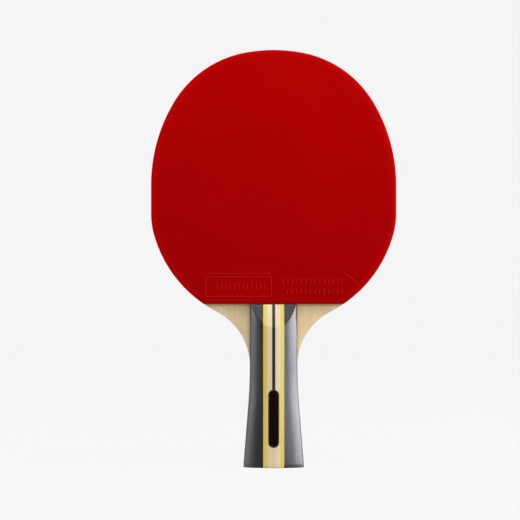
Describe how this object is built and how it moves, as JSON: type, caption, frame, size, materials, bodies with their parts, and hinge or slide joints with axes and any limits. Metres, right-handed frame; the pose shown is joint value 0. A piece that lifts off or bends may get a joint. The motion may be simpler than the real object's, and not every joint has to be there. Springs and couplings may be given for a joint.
{
  "type": "table tennis paddle",
  "caption": "Shakehand table tennis paddle with a plywood blade, a red and a black rubber, and a flared handle of dark, yellow and pale sticks.",
  "frame": {"origin": "middle of the butt of the handle, on the surface that the butt stands on", "axes": "+Z from the butt to the tip of the head; +Y out of the black rear playing face; the red front playing face looks towards -Y; +X to the right seen from the front"},
  "size_m": [0.15, 0.0246, 0.2554],
  "materials": {
    "core_wood": "sanded edge, open grain",
    "cross_veneer": "sanded edge, end grain",
    "face_veneer": "smooth sealed veneer",
    "front_sponge": "fine closed-cell foam, cut edge",
    "rear_sponge": "fine closed-cell foam, cut edge",
    "red_rubber": "smooth satin rubber",
    "black_rubber": "smooth satin rubber",
    "dark_lacquer": "dyed wood under clear lacquer",
    "yellow_stick": "dyed wood, satin",
    "pale_stick": "pale wood, satin",
    "dark_inlay": "dyed wood, satin",
    "badge_plate": "smooth dark plate, bare"
  },
  "bodies": {
    "root": {"core_ply": "core_wood", "front_inner_ply": "cross_veneer", "front_face_ply": "face_veneer", "rear_inner_ply": "cross_veneer", "rear_face_ply": "face_veneer", "front_sponge": "front_sponge", "front_topsheet": "red_rubber", "rear_sponge": "rear_sponge", "rear_topsheet": "black_rubber", "front_left_block": "dark_lacquer", "front_right_block": "dark_lacquer", "front_left_stripe": "yellow_stick", "front_right_stripe": "yellow_stick", "front_centre_strip": "pale_stick", "front_inlay_line": "dark_inlay", "front_badge": "badge_plate", "rear_left_block": "dark_lacquer", "rear_right_block": "dark_lacquer", "rear_left_stripe": "yellow_stick", "rear_right_stripe": "yellow_stick", "rear_centre_strip": "pale_stick", "rear_inlay_line": "dark_inlay", "rear_badge": "badge_plate"}
  },
  "joints": []
}
